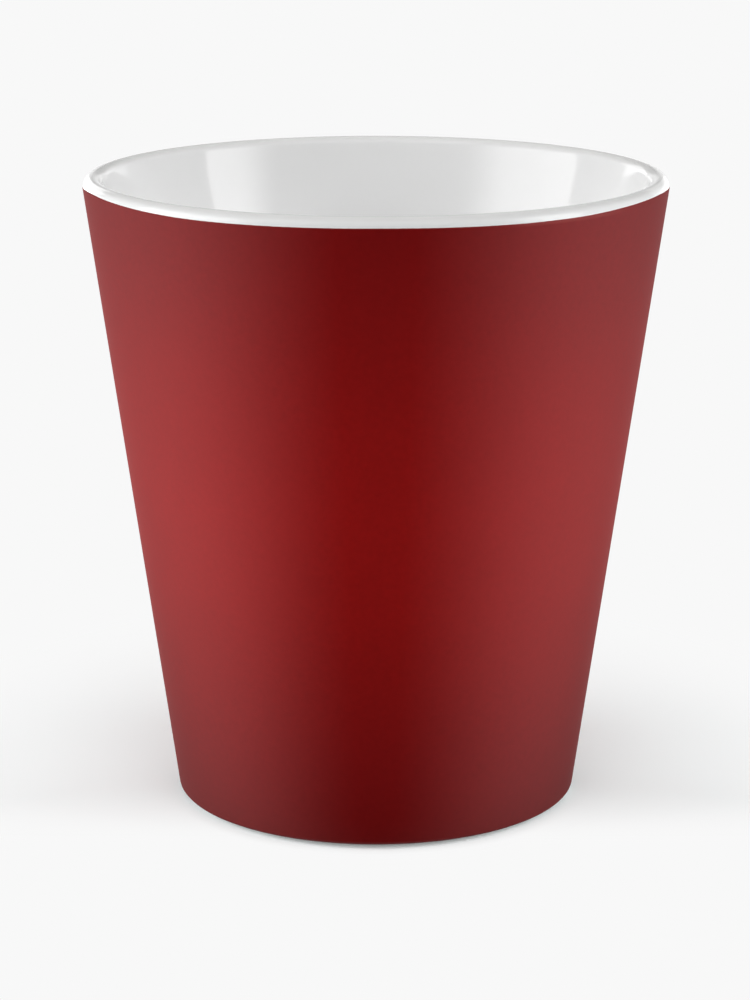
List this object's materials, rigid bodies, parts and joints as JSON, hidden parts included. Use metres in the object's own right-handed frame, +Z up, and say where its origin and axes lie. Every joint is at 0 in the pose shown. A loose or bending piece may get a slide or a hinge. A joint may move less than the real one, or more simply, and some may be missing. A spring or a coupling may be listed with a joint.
{
  "type": "coffee mug",
  "caption": "Tapered ceramic coffee mug with a red printed outside, a white glazed inside and rounded lip, and an ear-shaped handle. Holds a hot drink.",
  "frame": {"origin": "centre of the foot ring, on the surface that the mug stands on", "axes": "+Z up along the mug's axis, +Y out through the handle, +X to the right as seen from the side opposite the handle"},
  "size_m": [0.0908, 0.122, 0.0995],
  "materials": {
    "fired_clay": "matte",
    "fired_slip": "matte",
    "white_glaze": "gloss",
    "red_print": "satin"
  },
  "bodies": {
    "root": {"mug_body": "fired_clay", "inner_glaze": "white_glaze", "outer_glaze": "white_glaze", "base_glaze": "white_glaze", "print_wrap": "red_print", "handle": "fired_clay", "handle_glaze": "white_glaze", "upper_joint_slip": "fired_slip", "lower_joint_slip": "fired_slip"}
  },
  "joints": []
}
